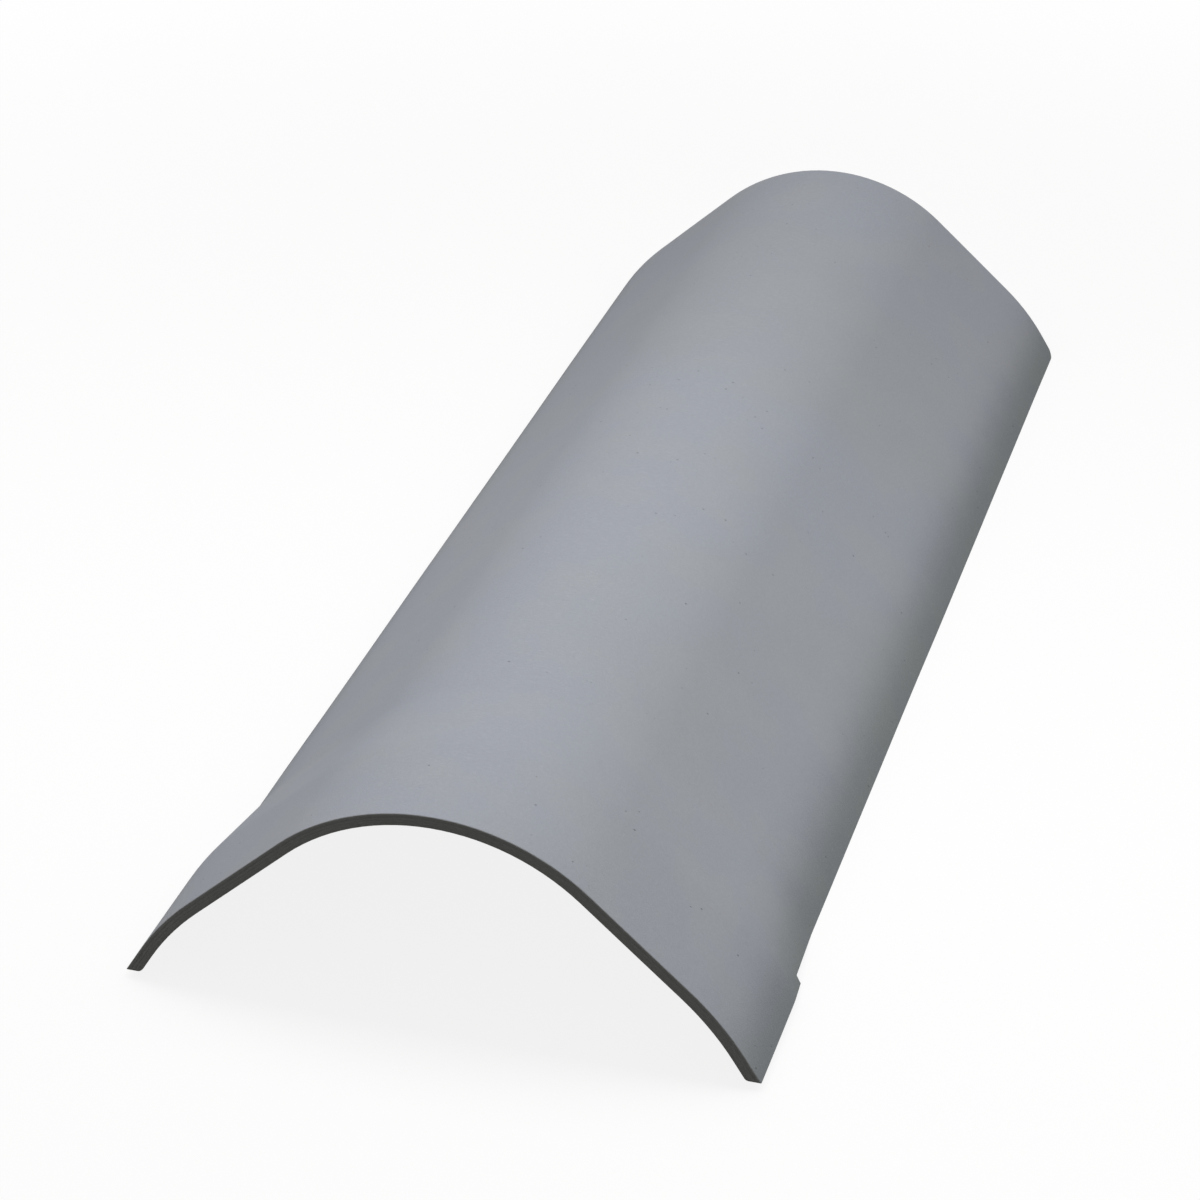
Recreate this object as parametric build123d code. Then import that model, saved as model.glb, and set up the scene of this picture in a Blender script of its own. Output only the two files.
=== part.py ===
from build123d import *
from math import cos, radians, sin
import os

# Fibre cement hip cap: a roll-topped roofing cap, moulded in one piece from a flat sheet.
# X runs across the cap, Y along it with the socket at the -Y end, and Z is up.
# The origin is under the middle of the cap, on the floor that its lips rest on.

# Driving dimensions of the plain body, in millimetres and degrees, on its outer face
LENGTH = 750.0              # mouth of the socket to the tail
WALL = 6.0                  # sheet thickness, the same all over
CROWN_RADIUS = 96.5         # roll top
FLANK_ANGLE = 42.0          # fall of the flat flanks
FLANK_RUN = 59.0            # flat part of a flank, down the slope
LIP_ANGLE = 58.5            # fall of the turned-down lips at their edge
LIP_BEND_RADIUS = 125.0     # long easy bend between a flank and its lip
LIP_RUN = 14.0              # flat part of a lip under its bend, down the slope
LIP_ARRIS_RADIUS = 4.0      # rounded inner corner under the lips
TAIL_CORNER_RADIUS = 6.0    # rounded lower corners of the tail

# Driving dimensions of the socket that laps over the tail of the next cap
SOCKET_CLEARANCE = 1.0      # between the socket's inside and the outside of a body
SOCKET_DEPTH = 61.0         # mouth to the near bend of the ramp
RAMP_RUN = 56.5             # near bend to far bend of the ramp
RAMP_BEND_RADIUS = 60.0     # both bends of the ramp, at the middle of the sheet
SHOULDER_SETBACK = 16.0     # near bend of the ramp to the shoulder in the lower edge
SHOULDER_FALL = 1.7         # fall of the socket's lower edge over that setback
SHOULDER_HEIGHT = 3.4       # step up in the lower edge at the shoulder

# Sizes that follow from those above
SOCKET_OFFSET = WALL + SOCKET_CLEARANCE
MID = WALL / 2
MOUTH_Y = -LENGTH / 2
TAIL_Y = LENGTH / 2
RAMP_Y = MOUTH_Y + SOCKET_DEPTH
SHOULDER_Y = RAMP_Y + SHOULDER_SETBACK
BODY_Y = RAMP_Y + RAMP_RUN
FLANK_TURN = radians(FLANK_ANGLE)
LIP_TURN = radians(LIP_ANGLE)
HEIGHT = (
    CROWN_RADIUS * (1 - cos(FLANK_TURN))
    + FLANK_RUN * sin(FLANK_TURN)
    + LIP_BEND_RADIUS * (cos(FLANK_TURN) - cos(LIP_TURN))
    + LIP_RUN * sin(LIP_TURN)
)
SPARE = WALL + SOCKET_OFFSET    # sheet left past an edge before it is trimmed


def section_path():
    """Middle line of the body's section, from the crown down to the right lip."""
    crown = CenterArc((0, HEIGHT - CROWN_RADIUS), CROWN_RADIUS - MID, 90, -FLANK_ANGLE)
    flank = PolarLine(crown @ 1, FLANK_RUN, -FLANK_ANGLE)
    bend = JernArc(flank @ 1, flank % 1, LIP_BEND_RADIUS - MID, FLANK_ANGLE - LIP_ANGLE)
    lip = PolarLine(bend @ 1, LIP_RUN + SPARE, -LIP_ANGLE)
    return Plane.XZ * Wire((crown + flank + bend + lip).edges())


def long_section():
    """The sheet cut lengthwise along the crown: socket, S-shaped ramp and body."""
    body_level = HEIGHT - MID
    socket_level = body_level + SOCKET_OFFSET
    middle = FilletPolyline(
        (MOUTH_Y, socket_level),
        (RAMP_Y, socket_level),
        (BODY_Y, body_level),
        (TAIL_Y, body_level),
        radius=RAMP_BEND_RADIUS,
    )
    return (Plane.YZ * trace(middle, WALL)).face()


def moulded_sheet():
    """The whole sheet over its mould, before its lower edges are trimmed."""
    right_half = sweep(long_section(), path=section_path())
    return right_half + mirror(right_half, about=Plane.YZ)


def side_outline():
    """Outline of the trimmed sheet from the side.

    The socket's lips are as long as the body's, so their edge stands higher. It falls along the
    ramp to the shoulder, steps up there, and meets the floor at the far bend of the ramp.
    """
    socket_edge = SOCKET_OFFSET * cos(LIP_TURN)
    shoulder_foot = socket_edge - SHOULDER_FALL
    shoulder_head = shoulder_foot + SHOULDER_HEIGHT
    top = HEIGHT + SPARE
    socket_side = FilletPolyline(
        (MOUTH_Y, socket_edge),
        (RAMP_Y, socket_edge),
        (SHOULDER_Y, shoulder_foot),
        radius=RAMP_BEND_RADIUS,
    )
    shoulder = Line((SHOULDER_Y, shoulder_foot), (SHOULDER_Y, shoulder_head))
    body_side = FilletPolyline(
        (SHOULDER_Y, shoulder_head),
        (BODY_Y, 0),
        (TAIL_Y, 0),
        radius=RAMP_BEND_RADIUS,
    )
    ends_and_top = Polyline((TAIL_Y, 0), (TAIL_Y, top), (MOUTH_Y, top), (MOUTH_Y, socket_edge))
    outline = socket_side + shoulder + body_side + ends_and_top
    return (Plane.YZ * make_face(outline.edges())).face()


def runs_along(edge):
    """Whether an edge runs along the cap rather than across it."""
    return abs(edge.tangent_at(0.5).Y) > abs(edge.tangent_at(0.5).X)


def under_lips(cap):
    """The cut faces that the lips stand on."""
    low_faces = cap.faces().filter_by(lambda face: face.center().Z < HEIGHT / 2)
    return low_faces.filter_by(lambda face: face.normal_at().Z < -cos(FLANK_TURN / 2))


def inner_lip_edges(cap):
    """The long edges on the inner side of the cut faces under the lips."""
    edges = ShapeList()
    for face in under_lips(cap):
        middle = abs(face.center().X)
        edges += [e for e in face.edges() if runs_along(e) and abs(e.center().X) < middle]
    return edges


def tail_corner_waste():
    """The sharp corner, seen from the side, that is rounded off under the tail."""
    centre = (TAIL_Y - TAIL_CORNER_RADIUS, TAIL_CORNER_RADIUS)
    rounding = CenterArc(centre, TAIL_CORNER_RADIUS, -90, 90)
    outside = Polyline(
        rounding @ 1,
        (TAIL_Y + SPARE, TAIL_CORNER_RADIUS),
        (TAIL_Y + SPARE, -SPARE),
        (TAIL_Y - TAIL_CORNER_RADIUS, -SPARE),
        rounding @ 0,
    )
    return (Plane.YZ * make_face((rounding + outside).edges())).face()


hip_cap = moulded_sheet() & extrude(side_outline(), amount=LENGTH, both=True)
hip_cap = fillet(inner_lip_edges(hip_cap), LIP_ARRIS_RADIUS)
hip_cap -= extrude(tail_corner_waste(), amount=LENGTH, both=True)

os.makedirs("parts", exist_ok=True)
export_step(hip_cap, "parts/hip_cap.step")
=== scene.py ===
"""Looks of the fibre cement hip cap: its moulded sheet, its finishes, its light and its camera."""

import logging
from collections.abc import Callable, Iterator
from contextlib import contextmanager
from dataclasses import dataclass
from enum import Enum, IntEnum
from math import cos, radians, sin, tan
from typing import Any

import bmesh
import bpy
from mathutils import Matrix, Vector


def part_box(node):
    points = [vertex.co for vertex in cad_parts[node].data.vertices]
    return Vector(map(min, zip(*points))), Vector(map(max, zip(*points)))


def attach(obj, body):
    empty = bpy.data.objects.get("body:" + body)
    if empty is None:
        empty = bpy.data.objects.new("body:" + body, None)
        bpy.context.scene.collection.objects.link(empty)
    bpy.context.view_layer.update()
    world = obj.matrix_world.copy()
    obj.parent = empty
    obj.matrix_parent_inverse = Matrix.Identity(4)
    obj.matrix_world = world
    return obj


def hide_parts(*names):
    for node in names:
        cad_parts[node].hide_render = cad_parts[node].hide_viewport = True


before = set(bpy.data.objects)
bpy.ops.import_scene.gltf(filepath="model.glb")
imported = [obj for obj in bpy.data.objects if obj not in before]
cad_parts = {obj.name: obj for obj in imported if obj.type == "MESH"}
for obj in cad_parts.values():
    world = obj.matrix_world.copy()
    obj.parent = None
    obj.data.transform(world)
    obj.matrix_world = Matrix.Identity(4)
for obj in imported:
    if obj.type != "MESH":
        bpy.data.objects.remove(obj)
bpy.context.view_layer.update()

LOG = logging.getLogger("hip_cap")
MILLIMETRES = 1000
Colour = tuple[float, float, float, float]
Point = tuple[float, float, float]
WHITE: Colour = (1.0, 1.0, 1.0, 1.0)


class Element(Enum):
    """Kinds of mesh element that a selection is made of."""

    VERT = "VERT"
    EDGE = "EDGE"


class Side(IntEnum):
    """The two sides of the cap, as the sign of X."""

    LEFT = -1
    RIGHT = 1


class Skin(IntEnum):
    """Faces of the sheet that have a finish of their own, as material slots."""

    OUTER = 0
    UNDER = 1
    CUT = 2


@contextmanager
def editing(piece: bpy.types.Object) -> Iterator[None]:
    """Holds one piece in edit mode.

    Args:
        piece: The mesh object to edit, alone.

    Returns:
        Nothing to use, for the time that the mesh is open.
    """
    bpy.ops.object.select_all(action="DESELECT")
    piece.select_set(True)
    bpy.context.view_layer.objects.active = piece
    bpy.ops.object.mode_set(mode="EDIT")
    yield
    bpy.ops.object.mode_set(mode="OBJECT")


def select(piece: bpy.types.Object, element: Element, wanted: Callable[[Any], bool]) -> int:
    """Selects what passes a test, in edit mode, and nothing else.

    Args:
        piece: The mesh object that is being edited.
        element: The kind of element to select.
        wanted: Says of a vertex or an edge whether it is selected.

    Returns:
        How many elements were selected.
    """
    bpy.ops.mesh.select_mode(type=element.value)
    bpy.ops.mesh.select_all(action="DESELECT")
    mesh = bmesh.from_edit_mesh(piece.data)
    pool = mesh.verts if element is Element.VERT else mesh.edges
    chosen = [item for item in pool if wanted(item)]
    for item in chosen:
        item.select_set(True)
    mesh.select_flush_mode()
    bmesh.update_edit_mesh(piece.data)
    return len(chosen)


def extrude(move: Vector) -> None:
    """Extrudes the selection by a move in metres."""
    bpy.ops.mesh.extrude_region_move(TRANSFORM_OT_translate={"value": move})


def apply_modifier(piece: bpy.types.Object, kind: str, settings: dict[str, Any]) -> None:
    """Adds a modifier to a piece, sets it and applies it.

    Args:
        piece: The mesh object to change, in object mode.
        kind: Blender's name of the modifier's type.
        settings: The modifier's own properties by name.
    """
    modifier = piece.modifiers.new(kind.lower(), kind)
    for name, value in settings.items():
        setattr(modifier, name, value)
    bpy.context.view_layer.objects.active = piece
    bpy.ops.object.modifier_apply(modifier=modifier.name)


@dataclass(frozen=True)
class Wire:
    """An output socket that shader maths is written with.

    Attributes:
        tree: The tree that the socket is in.
        socket: The socket, or None for a node without outputs.
    """

    tree: "ShaderTree"
    socket: bpy.types.NodeSocket | None

    def __add__(self, other: "Wire | float") -> "Wire":
        """Adds a value on the right."""
        return self.tree.math("ADD", self, other)

    def __radd__(self, other: float) -> "Wire":
        """Adds a number on the left."""
        return self.tree.math("ADD", other, self)

    def __sub__(self, other: "Wire | float") -> "Wire":
        """Takes a value away."""
        return self.tree.math("SUBTRACT", self, other)

    def __rsub__(self, other: float) -> "Wire":
        """Is taken away from a number."""
        return self.tree.math("SUBTRACT", other, self)

    def __mul__(self, other: "Wire | float") -> "Wire":
        """Multiplies by a value on the right."""
        return self.tree.math("MULTIPLY", self, other)

    def __rmul__(self, other: float) -> "Wire":
        """Multiplies by a number on the left."""
        return self.tree.math("MULTIPLY", other, self)


class ShaderTree:
    """The node tree of one material or world, built from expressions."""

    # Sockets of a Mix node for colours, which share their names with its other sockets
    MIX_SHARE = 0
    MIX_FIRST = 6
    MIX_SECOND = 7
    MIX_RESULT = 2

    def __init__(self, owner: bpy.types.Material | bpy.types.World) -> None:
        """Empties the owner's node tree.

        Args:
            owner: The material or world to build.
        """
        owner.use_nodes = True
        self.nodes = owner.node_tree.nodes
        self.links = owner.node_tree.links
        self.nodes.clear()

    def node(
        self,
        kind: str,
        settings: dict[str, Any] | None = None,
        inputs: dict[str | int, Any] | None = None,
        output: str | int = 0,
    ) -> Wire:
        """Adds any node.

        Args:
            kind: The node's type.
            settings: Properties of the node, set before its sockets.
            inputs: Values or wires for its input sockets, by name or place.
            output: The output socket to return, by name or place.

        Returns:
            The chosen output.
        """
        made = self.nodes.new(kind)
        for name, value in (settings or {}).items():
            setattr(made, name, value)
        for name, value in (inputs or {}).items():
            if isinstance(value, Wire):
                self.links.new(value.socket, made.inputs[name])
            else:
                made.inputs[name].default_value = value
        return Wire(self, made.outputs[output] if len(made.outputs) else None)

    def math(self, operation: str, first: Wire | float, second: Wire | float) -> Wire:
        """Adds a Math node on two values and returns its result."""
        return self.node("ShaderNodeMath", {"operation": operation}, {0: first, 1: second})

    def mix(self, share: Wire, first: Wire | Colour, second: Colour, blend: str = "MIX") -> Wire:
        """Mixes a colour with a second one.

        Args:
            share: Share of the second colour.
            first: The colour to start from.
            second: The colour to mix in.
            blend: Blender's name of the way that they are mixed.

        Returns:
            The mixed colour.
        """
        settings = {"data_type": "RGBA", "blend_type": blend}
        inputs = {self.MIX_SHARE: share, self.MIX_FIRST: first, self.MIX_SECOND: second}
        return self.node("ShaderNodeMix", settings, inputs, self.MIX_RESULT)

    def tint(self, share: Wire, first: Wire, second: Colour) -> Wire:
        """Multiplies a colour by a second one, by a share, and returns the colour."""
        return self.mix(share, first, second, "MULTIPLY")

    def brighten(self, colour: Wire, value: Wire) -> Wire:
        """Multiplies a colour's brightness by a value and returns the colour."""
        return self.node("ShaderNodeHueSaturation", None, {"Value": value, "Color": colour})

    def relief(self, height: Wire, depth: float) -> Wire:
        """Turns a height into a bump of a depth in metres and returns its normal."""
        inputs = {"Strength": 1.0, "Distance": depth, "Height": height}
        return self.node("ShaderNodeBump", None, inputs)

    def swing(self, middle: Wire | float, width: float, noise: Wire) -> Wire:
        """Lets noise swing a value.

        Args:
            middle: The value without the noise.
            width: How far apart the value's lowest and highest are.
            noise: Noise from 0 to 1.

        Returns:
            The uneven value.
        """
        return middle - width / 2 + width * noise

    def step(self, value: Wire, low: float, high: float) -> Wire:
        """Turns a value into a soft step.

        Args:
            value: The value to read.
            low: Where the step leaves 0.
            high: Where the step reaches 1.

        Returns:
            A mask from 0 to 1.
        """
        settings = {"interpolation_type": "SMOOTHSTEP"}
        inputs = {"Value": value, "From Min": low, "From Max": high}
        return self.node("ShaderNodeMapRange", settings, inputs)

    def place(self) -> Wire:
        """Returns the place on the piece in metres."""
        return self.node("ShaderNodeTexCoord", output="Object")

    def noise(self, place: Wire, size: float, detail: float = 3.0, roughness: float = 0.5) -> Wire:
        """Adds cloudy noise.

        Args:
            place: The place on the piece.
            size: Size of the largest clouds in metres.
            detail: Octaves of finer clouds.
            roughness: Strength of the finer clouds.

        Returns:
            A value from 0 to 1.
        """
        inputs = {"Vector": place, "Scale": 1.0 / size, "Detail": detail, "Roughness": roughness}
        return self.node("ShaderNodeTexNoise", None, inputs)


@dataclass(frozen=True)
class CementFinish:
    """Fibre cement as it leaves the mould: matt, cloudy and flecked with fibres, with painted shade
    towards its lower edges and in its pinholes.

    Attributes:
        name: The material's name.
        grey: Colour of the plain cement.
        cool: Colour of the bluer clouds.
        warm: Colour of the greener clouds.
        edge_shade: Painted shade: what the colour is multiplied by towards the lower edges.
        edge_shade_height: Height above the floor that the painted shade fades out at, in metres.
        roughness: Roughness of the plain cement.
        relief: Depth of the fine relief in metres.
        felt: Share of the felt's weave that shows in the relief.
    """

    # Sizes are in metres. An edge is the pair of noise values that a soft step runs between.
    CLOUD_SIZE = 0.045
    CLOUD_EDGE = (0.42, 0.62)
    CLOUD_GLOSS = 0.12          # swing of the roughness over the clouds
    PATCH_SIZE = 0.16
    PATCH_EDGE = (0.48, 0.66)
    PATCH_SHARE = 0.4
    GRAIN_SIZE = 0.0016
    GRAIN_CONTRAST = 0.12       # swing of the brightness over the grain
    FIBRE_LENGTH = 0.005
    FIBRE_WIDTH = 0.0004
    FIBRE_TURNS = (8.0, 63.0, 118.0)
    FIBRE_EDGE = (0.66, 0.74)
    FIBRE_PALE = (0.52, 0.53, 0.54, 1.0)
    FIBRE_SHARE = 0.10
    FIBRE_GLOSS = 0.06
    PIT_SPACING = 0.007
    PIT_EDGE = (0.04, 0.1)
    # Painted shade inside the pinholes: the colour it multiplies them by, and its share.
    PIT_SHADE = (0.45, 0.46, 0.46, 1.0)
    PIT_SHADE_SHARE = 0.55
    CLUSTER_SIZE = 0.02         # groups that the pinholes lie in
    CLUSTER_EDGE = (0.5, 0.62)
    WEAVE_SCALE = 130.0
    WEAVE_DISTORTION = 3.0
    EDGE_SHADE_SWING = 0.25          # unevenness of the painted shade's height, as a share of it

    # Shares of the relief
    GRAIN_HEIGHT = 0.45
    FIBRE_HEIGHT = 0.15
    PIT_DEPTH = 1.2
    WEAVE_HEIGHT = 0.3

    name: str
    grey: Colour
    cool: Colour
    warm: Colour
    edge_shade: Colour
    edge_shade_height: float
    roughness: float
    relief: float
    felt: float

    def material(self) -> bpy.types.Material:
        """Builds the finish and returns its material."""
        made = bpy.data.materials.new(self.name)
        tree = ShaderTree(made)
        place = tree.place()
        clouds = tree.noise(place, self.CLOUD_SIZE, detail=3.0, roughness=0.55)
        patches = tree.noise(place, self.PATCH_SIZE, detail=2.0)
        grain = tree.noise(place, self.GRAIN_SIZE, detail=2.0, roughness=0.6)
        fibres = self.fibres(tree, place)
        pits = self.pits(tree, place)
        colour = tree.mix(tree.step(clouds, *self.CLOUD_EDGE), self.cool, self.grey)
        warmth = tree.step(patches, *self.PATCH_EDGE) * self.PATCH_SHARE
        colour = tree.mix(warmth, colour, self.warm)
        # Painted shade: the colour darkens towards the lower edges, where the lips turn from the light.
        colour = tree.tint(self.lower_edge_shade(tree, place, clouds), colour, self.edge_shade)
        colour = tree.brighten(colour, tree.swing(1.0, self.GRAIN_CONTRAST, grain))
        colour = tree.mix(fibres * self.FIBRE_SHARE, colour, self.FIBRE_PALE)
        # Painted shade darkens the pinholes.
        colour = tree.tint(pits * self.PIT_SHADE_SHARE, colour, self.PIT_SHADE)
        roughness = tree.swing(self.roughness, self.CLOUD_GLOSS, clouds) - self.FIBRE_GLOSS * fibres
        height = self.GRAIN_HEIGHT * grain + self.FIBRE_HEIGHT * fibres - self.PIT_DEPTH * pits
        height = height + self.WEAVE_HEIGHT * self.weave(tree, place)
        finish_surface(tree, colour, roughness, tree.relief(height, self.relief))
        return made

    def fibres(self, tree: ShaderTree, place: Wire) -> Wire:
        """Lays short fibres in a few directions.

        Args:
            tree: The tree to build in.
            place: The place on the piece.

        Returns:
            A mask of the fibres.
        """
        across = 1.0 / self.FIBRE_WIDTH
        scale = (1.0 / self.FIBRE_LENGTH, across, across)
        mask = None
        for turn in self.FIBRE_TURNS:
            inputs = {"Vector": place, "Rotation": (0.0, 0.0, radians(turn)), "Scale": scale}
            laid = tree.node("ShaderNodeMapping", None, inputs)
            hairs = tree.step(tree.noise(laid, 1.0, detail=0.0), *self.FIBRE_EDGE)
            mask = hairs if mask is None else tree.math("MAXIMUM", mask, hairs)
        return mask

    def pits(self, tree: ShaderTree, place: Wire) -> Wire:
        """Scatters pinholes.

        Args:
            tree: The tree to build in.
            place: The place on the piece.

        Returns:
            A mask of the pinholes.
        """
        inputs = {"Vector": place, "Scale": 1.0 / self.PIT_SPACING}
        near = tree.node("ShaderNodeTexVoronoi", None, inputs)
        clusters = tree.step(tree.noise(place, self.CLUSTER_SIZE, detail=1.0), *self.CLUSTER_EDGE)
        return (1.0 - tree.step(near, *self.PIT_EDGE)) * clusters

    def weave(self, tree: ShaderTree, place: Wire) -> Wire:
        """Adds the weave that the felt presses into the sheet.

        Args:
            tree: The tree to build in.
            place: The place on the piece.

        Returns:
            The weave's height, by the finish's share of felt.
        """
        inputs = {"Vector": place, "Scale": self.WEAVE_SCALE, "Distortion": self.WEAVE_DISTORTION}
        height = self.felt
        for direction in ("Y", "X"):
            settings = {"wave_type": "BANDS", "bands_direction": direction}
            height = height * tree.node("ShaderNodeTexWave", settings, inputs)
        return height

    def lower_edge_shade(self, tree: ShaderTree, place: Wire, clouds: Wire) -> Wire:
        """Fades painted shade upwards from the lower edges, so that the colour is darker towards the
        bottom.

        Args:
            tree: The tree to build in.
            place: The place on the piece.
            clouds: Noise that makes the fade uneven.

        Returns:
            A mask of the painted shade.
        """
        above = tree.node("ShaderNodeSeparateXYZ", None, {"Vector": place}, "Z")
        uneven = tree.swing(above, self.EDGE_SHADE_SWING * self.edge_shade_height, clouds)
        return 1.0 - tree.step(uneven, 0.0, self.edge_shade_height)


@dataclass(frozen=True)
class CutFinish:
    """The sawn edges of the sheet, where its layers show. Their colours are darker cement and partly
    painted shade of the end faces.

    Attributes:
        name: The material's name.
        dark: Colour of the darker layers, darkened partly with painted shade.
        pale: Colour of the paler layers, darkened partly with painted shade.
        layers: How many layers the wall has.
        roughness: Roughness of the sawn face.
        relief: Depth of the saw's roughness in metres.
    """

    # Sizes are in metres. An edge is the pair of noise values that a soft step runs between.
    TEAR_SIZE = 0.004
    TEAR_SHIFT = 0.9            # layers that the tears shift the layering by
    TEAR_GLOSS = 0.1            # swing of the roughness over the tears
    LAYER_EDGE = (0.36, 0.66)
    GRAIN_SIZE = 0.0012
    GRAIN_CONTRAST = 0.24       # swing of the brightness over the grain

    # Shares of the relief
    LAYER_HEIGHT = 0.6
    TEAR_HEIGHT = 0.5
    GRAIN_HEIGHT = 0.4

    name: str
    dark: Colour
    pale: Colour
    layers: float
    roughness: float
    relief: float

    def material(self) -> bpy.types.Material:
        """Builds the finish and returns its material."""
        made = bpy.data.materials.new(self.name)
        tree = ShaderTree(made)
        place = tree.place()
        depth = tree.node("ShaderNodeAttribute", {"attribute_name": CapSheet.DEPTH}, None, "Fac")
        tears = tree.noise(place, self.TEAR_SIZE, detail=4.0, roughness=0.65)
        level = depth * self.layers + self.TEAR_SHIFT * tears
        layers = tree.node("ShaderNodeTexNoise", {"noise_dimensions": "1D"}, {"W": level, "Detail": 1.0})
        grain = tree.noise(place, self.GRAIN_SIZE, detail=2.0, roughness=0.7)
        # The layers' colours hold painted shade as well as the sawn cement's own tone.
        colour = tree.mix(tree.step(layers, *self.LAYER_EDGE), self.dark, self.pale)
        colour = tree.brighten(colour, tree.swing(1.0, self.GRAIN_CONTRAST, grain))
        roughness = tree.swing(self.roughness, self.TEAR_GLOSS, tears)
        height = self.LAYER_HEIGHT * layers + self.TEAR_HEIGHT * tears + self.GRAIN_HEIGHT * grain
        finish_surface(tree, colour, roughness, tree.relief(height, self.relief))
        return made


def finish_surface(tree: ShaderTree, colour: Wire, roughness: Wire, bump: Wire) -> None:
    """Ends a finish in a dull surface.

    Args:
        tree: The tree to end.
        colour: The surface's colour.
        roughness: Its roughness.
        bump: Its relief as a normal.
    """
    dull_specular = 0.3
    inputs = {"Base Color": colour, "Roughness": roughness, "Normal": bump}
    inputs |= {"Specular IOR Level": dull_specular}
    surface = tree.node("ShaderNodeBsdfPrincipled", None, inputs)
    tree.node("ShaderNodeOutputMaterial", None, {"Surface": surface})


@dataclass
class CapSheet:
    """The one moulded sheet of the hip cap, in metres and degrees, measured on its outer face.

    Attributes:
        length: Mouth of the socket to the tail.
        wall: Thickness of the sheet.
        crown_radius: Radius of the roll top.
        flank_angle: Fall of the flat flanks.
        flank_run: Flat part of a flank, down the slope.
        lip_angle: Fall of the lips at their edge.
        lip_bend_radius: Long bend between a flank and its lip.
        lip_run: Flat part of a lip under its bend.
        lip_arris_radius: Rounded inner corner under the lips.
        tail_corner_radius: Rounded lower corners of the tail.
        socket_clearance: Room between the socket and the tail of the next cap.
        socket_depth: Mouth to the near bend of the ramp.
        ramp_run: Near bend to far bend of the ramp.
        ramp_bend_radius: Both bends of the ramp.
        shoulder_setback: Near bend of the ramp to the shoulder in the lower edge.
        shoulder_fall: Fall of the socket's lower edge over that setback.
        shoulder_height: Step up in the lower edge at the shoulder.
        shoulder_run: Length that the step takes.
        arris: Softening of every cut edge.
        foot_arris: Softening of the lips' outer lower edges.
        fade_start: Distance from the tail where the inner rounding under the lips starts to fade.
        fade_end: Distance from the tail where it has faded into a plain arris.
        wave_height: Unevenness of the moulding.
        wave_size: Size of the moulding's waves.
        floor_margin: Run past the far bend of the ramp, from where the lips stand on the floor.
    """

    NODE = "hip_cap"
    NAME = "hip_cap_sheet"
    SLOT = "fibre_cement"
    DEPTH = "wall_depth"
    FEET = "lip_feet"
    INNER = "under_face"
    SOCKET = "socket"
    NEAR = 1e-5
    NO_LIFT = 1e-6

    length: float
    wall: float = 0.006
    crown_radius: float = 0.0965
    flank_angle: float = 42.0
    flank_run: float = 0.0590
    lip_angle: float = 58.5
    lip_bend_radius: float = 0.125
    lip_run: float = 0.0140
    lip_arris_radius: float = 0.004
    tail_corner_radius: float = 0.006
    socket_clearance: float = 0.001
    socket_depth: float = 0.061
    ramp_run: float = 0.0565
    ramp_bend_radius: float = 0.060
    shoulder_setback: float = 0.0160
    shoulder_fall: float = 0.0017
    shoulder_height: float = 0.0034
    shoulder_run: float = 0.001
    arris: float = 0.0006
    foot_arris: float = 0.00025
    fade_start: float = 0.110
    fade_end: float = 0.045
    wave_height: float = 0.0007
    wave_size: float = 0.17
    floor_margin: float = 0.006

    @classmethod
    def over_node(cls) -> "CapSheet":
        """Takes the length of the CAD node and returns a sheet of that size."""
        low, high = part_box(cls.NODE)
        sheet = cls(length=high.y - low.y)
        top = sheet.height + sheet.socket_offset
        LOG.info("crown %.4f m by the sizes, %.4f m in the frame", top, high.z)
        return sheet

    @property
    def socket_offset(self) -> float:
        """How far the socket stands out from the body."""
        return self.wall + self.socket_clearance

    @property
    def height(self) -> float:
        """Height of the body's crown above the floor."""
        flank, lip = radians(self.flank_angle), radians(self.lip_angle)
        roll = self.crown_radius * (1 - cos(flank)) + self.flank_run * sin(flank)
        return roll + self.lip_bend_radius * (cos(flank) - cos(lip)) + self.lip_run * sin(lip)

    @property
    def mouth_y(self) -> float:
        """Place of the mouth along the cap."""
        return -self.length / 2

    @property
    def ramp_y(self) -> float:
        """Place of the near bend of the ramp."""
        return self.mouth_y + self.socket_depth

    @property
    def shoulder_y(self) -> float:
        """Place of the shoulder in the lower edge."""
        return self.ramp_y + self.shoulder_setback

    @property
    def body_y(self) -> float:
        """Place of the far bend of the ramp."""
        return self.ramp_y + self.ramp_run

    def socket_share(self, y: float) -> float:
        """Follows the socket and its ramp along the cap.

        Args:
            y: A place along the cap.

        Returns:
            The share of the socket's offset there, from 1 in the socket to 0 in the body.
        """
        fall = self.socket_offset / self.ramp_run
        near, far = self.eased_bend(y - self.ramp_y, fall), self.eased_bend(y - self.body_y, fall)
        return 1.0 - (near - far) / self.ramp_run

    def eased_bend(self, run: float, fall: float) -> float:
        """Measures a run past a bend of the ramp, with the bend rounded.

        Args:
            run: The run past the bend's corner, negative before it.
            fall: How steeply the surface falls past the bend.

        Returns:
            The run that a sharp bend would need for the same fall.
        """
        ease = self.ramp_bend_radius * fall / 2
        if run <= -ease:
            return 0.0
        return run if run >= ease else (run + ease) ** 2 / (4 * ease)

    def neck_lift(self, y: float) -> float:
        """Compares the cut of the lower edge along the ramp with lips of one length.

        Args:
            y: A place along the cap.

        Returns:
            How far the lower edge is cut back upwards there, or left longer where it is negative.
        """
        edge = self.socket_offset * cos(radians(self.lip_angle))
        if y < self.shoulder_y:
            fall = self.shoulder_fall / self.shoulder_setback
            cut = edge - fall * self.eased_bend(y - self.ramp_y, fall)
        else:
            head = edge - self.shoulder_fall + self.shoulder_height
            rise = head / (self.body_y - self.shoulder_y)
            cut = rise * self.eased_bend(self.body_y - y, rise)
        return cut - edge * self.socket_share(y)

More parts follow.
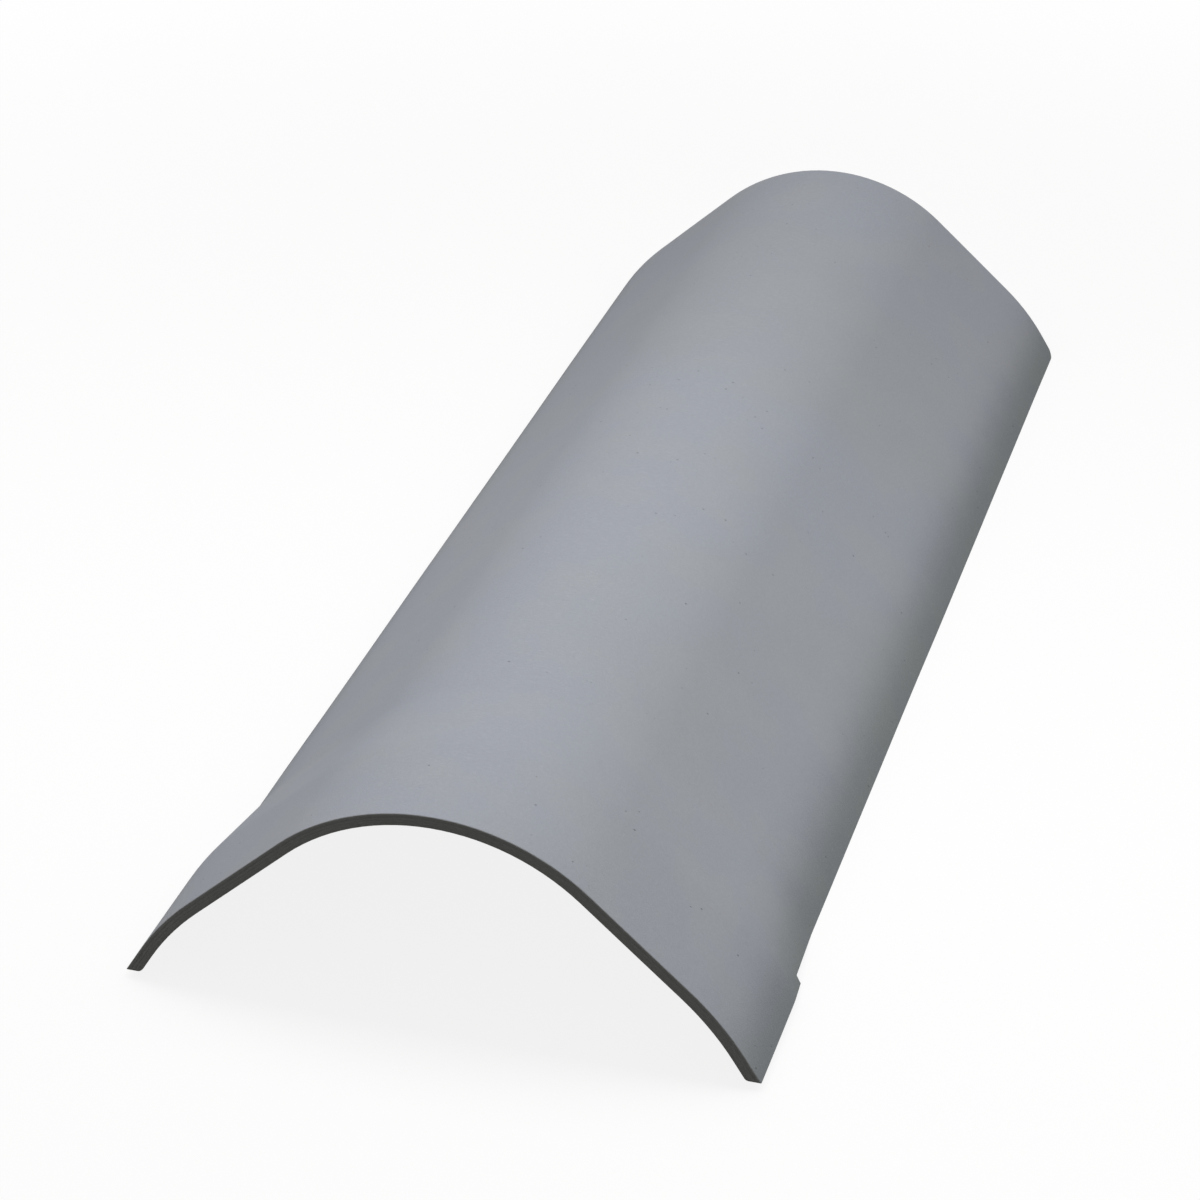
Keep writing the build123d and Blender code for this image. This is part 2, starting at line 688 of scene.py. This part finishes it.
    def stations(self) -> list[float]:
        """Returns the places along the cap where the skin is divided, close together on the ramp."""
        coarse, fine = 0.0125, 0.0031
        half_step = self.shoulder_run / 2
        places = [self.shoulder_y - half_step, self.shoulder_y + half_step]
        y = self.mouth_y + coarse
        while y < self.length / 2 - coarse / 2:
            on_ramp = self.ramp_y - coarse < y < self.body_y + coarse
            if abs(y - self.shoulder_y) > fine / 2:
                places.append(y)
            y += fine if on_ramp else coarse
        return sorted(places)

    def build(self, finishes: dict[Skin, bpy.types.Material]) -> bpy.types.Object:
        """Models the sheet and seats it in the frame.

        Args:
            finishes: The material of each face.

        Returns:
            The finished piece.
        """
        piece = self.lay_crown_line()
        for skin in Skin:
            piece.data.materials.append(finishes[skin])
        self.roll_skin(piece)
        self.divide(piece)
        self.mark_feet(piece)
        self.cut_neck(piece)
        self.mirror(piece)
        self.swell_socket(piece)
        self.wave(piece)
        self.thicken(piece)
        self.level_feet(piece)
        self.round_tail_corners(piece)
        self.soften_arrises(piece)
        self.clear_marks(piece)
        self.smooth(piece)
        self.seat(piece)
        return piece

    def lay_crown_line(self) -> bpy.types.Object:
        """Cuts a plane down to the one edge that is the crown line, and returns it."""
        bpy.ops.object.select_all(action="DESELECT")
        bpy.ops.mesh.primitive_plane_add(size=self.length, location=(self.length / 2, 0, self.height))
        piece = bpy.context.object
        piece.name = self.NAME
        piece.data.name = self.NAME
        bpy.ops.object.transform_apply(location=True, rotation=True, scale=True)
        with editing(piece):
            select(piece, Element.VERT, lambda vert: vert.co.x > self.length / 2)
            bpy.ops.mesh.delete(type="VERT")
        return piece

    def roll_skin(self, piece: bpy.types.Object) -> None:
        """Spins and extrudes the crown line into the right half of the outer skin.

        Args:
            piece: The crown line.
        """
        crown_steps, flank_steps, bend_steps = 14, 5, 7
        flank, lip = radians(self.flank_angle), radians(self.lip_angle)
        along = (0, 1, 0)
        inset = self.crown_radius - self.lip_bend_radius
        crown_z = self.height - self.crown_radius
        bend_x = inset * sin(flank) + self.flank_run * cos(flank)
        bend_z = crown_z + inset * cos(flank) - self.flank_run * sin(flank)
        crown_centre, bend_centre = (0, 0, crown_z), (bend_x, 0, bend_z)
        down_flank = Vector((cos(flank), 0, -sin(flank))) * self.flank_run / flank_steps
        down_lip = Vector((cos(lip), 0, -sin(lip))) * self.lip_run
        with editing(piece):
            bpy.ops.mesh.select_all(action="SELECT")
            bpy.ops.mesh.spin(steps=crown_steps, angle=-flank, center=crown_centre, axis=along)
            for _ in range(flank_steps):
                extrude(down_flank)
            bpy.ops.mesh.spin(steps=bend_steps, angle=flank - lip, center=bend_centre, axis=along)
            extrude(down_lip)

    def divide(self, piece: bpy.types.Object) -> None:
        """Cuts the skin across at each station.

        Args:
            piece: The right half of the outer skin.
        """
        with editing(piece):
            bpy.ops.mesh.select_all(action="SELECT")
            bpy.ops.mesh.remove_doubles(threshold=self.NEAR)
            for y in self.stations():
                bpy.ops.mesh.select_all(action="SELECT")
                bpy.ops.mesh.bisect(plane_co=(0, y, 0), plane_no=(0, 1, 0))

    def mark_feet(self, piece: bpy.types.Object) -> None:
        """Groups the vertices of the lower edge and weighs every vertex by the socket.

        Args:
            piece: The right half of the outer skin.
        """
        feet = piece.vertex_groups.new(name=self.FEET)
        socket = piece.vertex_groups.new(name=self.SOCKET)
        piece.vertex_groups.new(name=self.INNER)
        for vert in piece.data.vertices:
            if vert.co.z < self.NEAR:
                feet.add([vert.index], 1.0, "REPLACE")
            socket.add([vert.index], self.socket_share(vert.co.y), "REPLACE")

    def cut_neck(self, piece: bpy.types.Object) -> None:
        """Slides the lower edge up the lip behind the shoulder.

        Args:
            piece: The right half of the outer skin.
        """
        with editing(piece):
            for y in self.stations():
                lift = self.neck_lift(y)
                if abs(lift) < self.NO_LIFT:
                    continue
                select(piece, Element.VERT, lambda vert: self.is_foot_at(vert, y))
                bpy.ops.transform.translate(value=(-lift / tan(radians(self.lip_angle)), 0, lift))

    def is_foot_at(self, vert: bmesh.types.BMVert, y: float) -> bool:
        """Whether a vertex is on the floor at a station."""
        return vert.co.z < self.NEAR and abs(vert.co.y - y) < self.NEAR

    def mirror(self, piece: bpy.types.Object) -> None:
        """Mirrors the right half to the left and turns all faces outwards.

        Args:
            piece: The right half of the outer skin.
        """
        settings = {"use_axis": (True, False, False)}
        settings |= {"use_mirror_merge": True, "merge_threshold": self.NEAR}
        apply_modifier(piece, "MIRROR", settings)
        with editing(piece):
            bpy.ops.mesh.select_all(action="SELECT")
            bpy.ops.mesh.remove_doubles(threshold=self.NEAR)
            bpy.ops.mesh.normals_make_consistent(inside=False)
            faces = bmesh.from_edit_mesh(piece.data).faces
            top = max(faces, key=lambda face: face.calc_center_median().z)
            if top.normal.z < 0:
                bpy.ops.mesh.flip_normals()

    def swell_socket(self, piece: bpy.types.Object) -> None:
        """Pushes the socket and its ramp out from the body.

        Args:
            piece: The whole outer skin.
        """
        settings = {"strength": self.socket_offset, "mid_level": 0.0, "vertex_group": self.SOCKET}
        apply_modifier(piece, "DISPLACE", settings)

    def wave(self, piece: bpy.types.Object) -> None:
        """Makes the skin as uneven as a hand-moulded sheet, with its feet still on the floor.

        Args:
            piece: The whole outer skin.
        """
        waves = bpy.data.textures.new("moulding_waves", "CLOUDS")
        waves.noise_scale = self.wave_size
        waves.noise_depth = 1
        settings = {"texture": waves, "texture_coords": "LOCAL", "strength": self.wave_height}
        apply_modifier(piece, "DISPLACE", settings)
        self.flatten_feet(piece)

    def flatten_feet(self, piece: bpy.types.Object) -> None:
        """Sets the body's feet level with the floor.

        Args:
            piece: The sheet, with its lower edge near the floor.
        """
        group = piece.vertex_groups[self.FEET].index
        with editing(piece):
            layer = bmesh.from_edit_mesh(piece.data).verts.layers.deform.verify()
            on_floor = self.body_y + self.floor_margin
            select(piece, Element.VERT, lambda vert: group in vert[layer] and vert.co.y > on_floor)
            bpy.ops.transform.resize(value=(1, 1, 0), center_override=(0, 0, 0))

    def thicken(self, piece: bpy.types.Object) -> None:
        """Gives the skin its wall, with a finish of its own on each face, and its depth attribute.

        Args:
            piece: The whole outer skin.
        """
        settings = {"thickness": self.wall, "offset": -1.0, "use_even_offset": True}
        settings |= {"material_offset": int(Skin.UNDER), "material_offset_rim": int(Skin.CUT)}
        settings |= {"shell_vertex_group": self.INNER}
        apply_modifier(piece, "SOLIDIFY", settings)
        inner = piece.vertex_groups[self.INNER].index
        depth = piece.data.attributes.new(self.DEPTH, "FLOAT", "POINT")
        for vert in piece.data.vertices:
            depth.data[vert.index].value = float(any(held.group == inner for held in vert.groups))

    def level_feet(self, piece: bpy.types.Object) -> None:
        """Slides the inner lower edges up the lips, so that the lips are cut level.

        Args:
            piece: The sheet with its wall.
        """
        feet = piece.vertex_groups[self.FEET].index
        inner = piece.vertex_groups[self.INNER].index
        lift = self.wall * cos(radians(self.lip_angle))
        slide = lift / tan(radians(self.lip_angle))
        with editing(piece):
            for side in Side:
                layer = bmesh.from_edit_mesh(piece.data).verts.layers.deform.verify()
                select(
                    piece,
                    Element.VERT,
                    lambda vert: feet in vert[layer] and inner in vert[layer] and vert.co.x * side > 0,
                )
                bpy.ops.transform.translate(value=(-side * slide, 0, lift))
        self.flatten_feet(piece)

    def round_tail_corners(self, piece: bpy.types.Object) -> None:
        """Rounds the lower corners of the tail, as seen from the side.

        Args:
            piece: The sheet with its wall.
        """
        corner_steps = 6
        feet = piece.vertex_groups[self.FEET].index
        with editing(piece):
            layer = bmesh.from_edit_mesh(piece.data).verts.layers.deform.verify()

            def is_tail_corner(edge: bmesh.types.BMEdge) -> bool:
                """Whether an edge crosses the wall under the tail."""
                at_tail = all(vert.co.y > self.length / 2 - self.arris for vert in edge.verts)
                return at_tail and all(feet in vert[layer] for vert in edge.verts)

            count = select(piece, Element.EDGE, is_tail_corner)
            settings = {"offset": self.tail_corner_radius, "segments": corner_steps}
            bpy.ops.mesh.bevel(clamp_overlap=False, **settings)
        LOG.info("tail corners: %d edges at %.2f mm", count, self.tail_corner_radius * MILLIMETRES)

    def inner_rounding(self, y: float) -> float:
        """Follows the rounding on the inner side under a lip, which fades into an arris near the tail.

        Args:
            y: A place along the cap.

        Returns:
            The width that the inner edge is rounded by there.
        """
        # The fade goes by tenths, so that only a few widths are needed
        tenths = 1
        full = self.lip_arris_radius * tan(radians(self.lip_angle / 2))
        faded = (y - self.length / 2 + self.fade_start) / (self.fade_start - self.fade_end)
        return full + (self.arris - full) * round(min(max(faded, 0.0), 1.0), tenths)

    def soften_arrises(self, piece: bpy.types.Object) -> None:
        """Rounds the inner edges under the lips and softens every other arris.

        Args:
            piece: The sheet with its wall and its rounded tail corners.
        """
        sharp, arris_steps = radians(35), 4
        feet = piece.vertex_groups[self.FEET].index
        inner = piece.vertex_groups[self.INNER].index
        widest = self.inner_rounding(self.mouth_y)
        with editing(piece):
            mesh = bmesh.from_edit_mesh(piece.data)
            layer = mesh.verts.layers.deform.verify()

            def softening(edge: bmesh.types.BMEdge) -> float:
                """Returns the width that an edge is rounded by, which is 0 where it isn't an arris."""
                is_foot = all(feet in vert[layer] for vert in edge.verts)
                under = [inner in vert[layer] for vert in edge.verts]
                if is_foot and all(under):
                    return self.inner_rounding(max(vert.co.y for vert in edge.verts))
                if is_foot and not any(under):
                    return self.foot_arris
                is_arris = edge.is_manifold and edge.calc_face_angle() > sharp
                return self.arris if is_arris else 0.0

            for width in sorted({softening(edge) for edge in mesh.edges} - {0.0}):
                count = select(piece, Element.EDGE, lambda edge: softening(edge) == width)
                bpy.ops.transform.edge_bevelweight(value=width / widest)
                LOG.info("arrises: %d edges at %.2f mm", count, width * MILLIMETRES)
        settings = {"limit_method": "WEIGHT", "use_clamp_overlap": False}
        settings |= {"width": widest, "segments": arris_steps}
        apply_modifier(piece, "BEVEL", settings)

    def clear_marks(self, piece: bpy.types.Object) -> None:
        """Deletes the vertex groups, which only the modelling needs."""
        piece.vertex_groups.clear()

    def smooth(self, piece: bpy.types.Object) -> None:
        """Shades the sheet smooth, led by its large faces.

        Args:
            piece: The finished mesh.
        """
        area_weight = 50
        bpy.ops.object.select_all(action="DESELECT")
        piece.select_set(True)
        bpy.context.view_layer.objects.active = piece
        bpy.ops.object.shade_smooth()
        apply_modifier(piece, "WEIGHTED_NORMAL", {"mode": "FACE_AREA", "weight": area_weight})

    def seat(self, piece: bpy.types.Object) -> None:
        """Seats the sheet in the frame, in place of its CAD solid.

        Args:
            piece: The finished mesh.
        """
        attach(piece, "root")
        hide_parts(self.NODE)


@dataclass(frozen=True)
class Lamp:
    """A soft box over the cap.

    Attributes:
        name: The lamp's name.
        place: Its middle in metres.
        size: Its two sides in metres.
        power: Its power in watts.
        colour: Its colour.
    """

    name: str
    place: Point
    size: tuple[float, float]
    power: float
    colour: Point

    def hang(self) -> None:
        """Hangs the soft box, facing straight down."""
        data = bpy.data.lights.new(self.name, "AREA")
        data.shape = "RECTANGLE"
        data.size, data.size_y = self.size
        data.energy = self.power
        data.color = self.colour
        lamp = bpy.data.objects.new(self.name, data)
        lamp.location = self.place
        bpy.context.scene.collection.objects.link(lamp)


@dataclass
class Studio:
    """The pale floor, the light and the camera at the photograph's angle.

    Attributes:
        floor_size: Side of the square floor in metres.
        floor_white: Colour that the camera sees the floor in.
        floor_bounce: Colour that the floor lights the cap with.
        floor_glow: Share of the floor's look that is plain white, which keeps its shadow pale.
        floor_fade: Distances from the middle between which the floor turns plain white.
        fill: Strength of the light from all round.
        fill_colour: Colour of that light.
        azimuth: Turn of the camera about the cap in degrees.
        elevation: Angle of the camera above the floor in degrees.
        distance: Distance of the camera from its aim.
        aim: The point in the middle of the picture.
        lens: Focal length in millimetres on a 36 mm sensor.
    """

    floor_size: float = 40.0
    floor_white: Colour = (0.93, 0.93, 0.93, 1.0)
    floor_bounce: Colour = (0.20, 0.205, 0.19, 1.0)
    floor_glow: float = 0.86
    floor_fade: tuple[float, float] = (0.4, 1.2)
    fill: float = 0.30
    fill_colour: Colour = (1.0, 1.0, 0.95, 1.0)
    azimuth: float = 16.476
    elevation: float = 29.556
    distance: float = 1.7657
    aim: Point = (-0.0354, -0.0057, 0.0080)
    lens: float = 100.975

    def lay_floor(self) -> None:
        """Lays the floor, white to the camera and darker to the light that it throws back."""
        bpy.ops.object.select_all(action="DESELECT")
        bpy.ops.mesh.primitive_plane_add(size=self.floor_size)
        floor = bpy.context.object
        floor.name = "floor"
        material = bpy.data.materials.new("pale_floor")
        tree = ShaderTree(material)
        seen = self.seen_rays(tree)
        colour = tree.mix(seen, self.floor_bounce, self.floor_white)
        lit = tree.node("ShaderNodeBsdfDiffuse", None, {"Color": colour})
        glow = tree.node("ShaderNodeEmission", None, {"Color": WHITE, "Strength": 1.0})
        away = tree.node("ShaderNodeVectorMath", {"operation": "LENGTH"}, {0: tree.place()}, "Value")
        plain = self.floor_glow + (1.0 - self.floor_glow) * tree.step(away, *self.floor_fade)
        both = tree.node("ShaderNodeMixShader", None, {0: seen * plain, 1: lit, 2: glow})
        tree.node("ShaderNodeOutputMaterial", None, {"Surface": both})
        floor.data.materials.append(material)

    def seen_rays(self, tree: ShaderTree) -> Wire:
        """Returns 1 for rays that see the background, straight or by a mirror or a pane."""
        seen = None
        for kind in ("Is Camera Ray", "Is Glossy Ray", "Is Transmission Ray"):
            ray = tree.node("ShaderNodeLightPath", output=kind)
            seen = ray if seen is None else tree.math("MAXIMUM", seen, ray)
        return seen

    def fill_round(self) -> None:
        """Sets the light from all round, with white behind for the camera."""
        world = bpy.data.worlds.new("fill")
        tree = ShaderTree(world)
        seen = self.seen_rays(tree)
        colour = tree.mix(seen, self.fill_colour, WHITE)
        strength = self.fill + (1.0 - self.fill) * seen
        light = tree.node("ShaderNodeBackground", None, {"Color": colour, "Strength": strength})
        tree.node("ShaderNodeOutputWorld", None, {"Surface": light})
        bpy.context.scene.world = world

    def set_camera(self) -> None:
        """Sets the camera at the photograph's angle."""
        turn, rise = radians(self.azimuth), radians(self.elevation)
        back = Vector((sin(turn) * cos(rise), -cos(turn) * cos(rise), sin(rise)))
        data = bpy.data.cameras.new("camera")
        data.lens = self.lens
        camera = bpy.data.objects.new("camera", data)
        camera.location = Vector(self.aim) + back * self.distance
        camera.rotation_euler = (-back).to_track_quat("-Z", "Y").to_euler()
        bpy.context.scene.collection.objects.link(camera)
        bpy.context.scene.camera = camera

    def build(self) -> None:
        """Sets the whole stage."""
        bpy.context.scene.view_settings.view_transform = "Standard"
        self.lay_floor()
        self.fill_round()
        self.set_camera()


OUTER_FINISH = CementFinish(
    name="moulded_cement",
    grey=(0.329, 0.343, 0.378, 1.0),
    cool=(0.318, 0.334, 0.382, 1.0),
    warm=(0.316, 0.334, 0.349, 1.0),
    # Painted shade darkens the lower edges.
    edge_shade=(0.62, 0.64, 0.60, 1.0),
    edge_shade_height=0.033,
    roughness=0.82,
    relief=0.00025,
    felt=0.0,
)
UNDER_FINISH = CementFinish(
    name="felt_side_cement",
    grey=(0.318, 0.328, 0.350, 1.0),
    cool=(0.300, 0.314, 0.345, 1.0),
    warm=(0.302, 0.308, 0.306, 1.0),
    # Painted shade darkens the lower edges.
    edge_shade=(0.72, 0.72, 0.66, 1.0),
    edge_shade_height=0.030,
    roughness=0.88,
    relief=0.0005,
    felt=1.0,
)
CUT_FINISH = CutFinish(
    name="sawn_cement_and_shade",
    # The sawn edges are darkened partly with painted shade of the end faces.
    dark=(0.205, 0.208, 0.204, 1.0),
    pale=(0.295, 0.298, 0.292, 1.0),
    layers=9.0,
    roughness=0.86,
    relief=0.0005,
)
KEY_LAMP = Lamp(
    name="key_box",
    place=(0.28, -0.12, 1.10),
    size=(3.0, 0.5),
    power=17.0,
    colour=(1.0, 1.0, 1.0),
)


def main() -> None:
    """Builds the cap, its finishes and its studio in order."""
    logging.basicConfig(level=logging.INFO, format="%(name)s: %(message)s")
    finishes = {
        Skin.OUTER: OUTER_FINISH.material(),
        Skin.UNDER: UNDER_FINISH.material(),
        Skin.CUT: CUT_FINISH.material(),
    }
    piece = CapSheet.over_node().build(finishes)
    for skin in Skin:
        count = sum(face.material_index == skin for face in piece.data.polygons)
        LOG.info("%s, %s: %d faces", piece.name, skin.name.lower(), count)
    Studio().build()
    KEY_LAMP.hang()
    LOG.info("studio: floor, fill, %s and camera", KEY_LAMP.name)


if __name__ == "__main__":
    main()
